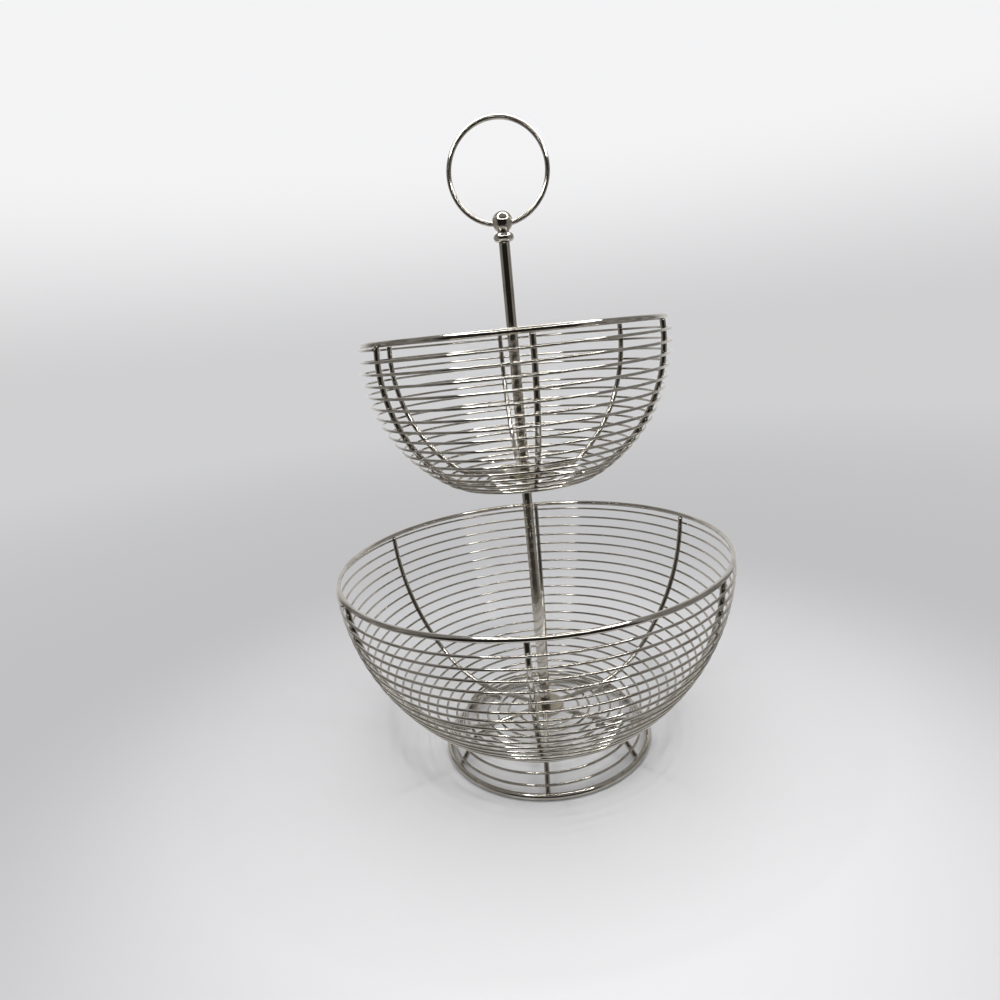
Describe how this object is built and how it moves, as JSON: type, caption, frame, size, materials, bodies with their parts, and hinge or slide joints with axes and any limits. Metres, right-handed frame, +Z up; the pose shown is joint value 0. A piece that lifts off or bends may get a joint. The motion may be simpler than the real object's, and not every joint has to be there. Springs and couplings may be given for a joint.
{
  "type": "tiered wire basket",
  "caption": "Two-tier bowl basket of spiral-wound chromed wire on a central pole, with a flared wire foot and a ring handle on top.",
  "frame": {"origin": "on the table plane, at the centre of the foot ring, under the pole", "axes": "+Z up along the pole; the ring handle lies in the XZ plane; the front rib of the lower basket is on -Y"},
  "size_m": [0.3049, 0.3046, 0.4736],
  "materials": {
    "foot_wire": "polished chrome plate",
    "winding_wire": "polished chrome plate",
    "rib_wire": "polished chrome plate",
    "rim_wire": "polished chrome plate",
    "hub_plate": "polished chrome plate",
    "fasteners": "bright zinc or chrome plate",
    "pole": "polished chrome plate",
    "finial": "polished chrome plate",
    "handle_wire": "polished chrome plate"
  },
  "bodies": {
    "stand_and_lower_basket": {"foot_ring": "foot_wire", "foot_winding": "winding_wire", "foot_rib_1": "rib_wire", "foot_rib_2": "rib_wire", "foot_rib_3": "rib_wire", "foot_rib_4": "rib_wire", "foot_rib_5": "rib_wire", "foot_rib_6": "rib_wire", "lower_hub_disc": "hub_plate", "lower_rib_1": "rib_wire", "lower_rib_2": "rib_wire", "lower_rib_3": "rib_wire", "lower_rib_4": "rib_wire", "lower_rib_5": "rib_wire", "lower_rib_6": "rib_wire", "lower_winding": "winding_wire", "lower_rim": "rim_wire", "base_washer": "fasteners", "base_cap_nut": "fasteners", "lower_pole": "pole", "joining_stud": "fasteners", "upper_pole": "pole", "collar_bead": "finial", "finial_ball": "finial", "ring_handle": "handle_wire"},
    "upper_basket": {"upper_hub_disc": "hub_plate", "upper_rib_1": "rib_wire", "upper_rib_2": "rib_wire", "upper_rib_3": "rib_wire", "upper_rib_4": "rib_wire", "upper_rib_5": "rib_wire", "upper_rib_6": "rib_wire", "upper_winding": "winding_wire", "upper_rim": "rim_wire"}
  },
  "joints": [
    {"name": "upper_basket_turn", "type": "hinge", "parent": "stand_and_lower_basket", "child": "upper_basket", "pos_m": [0, 0, 0.2257], "axis": [0, 0, 1], "continuous": true}
  ]
}
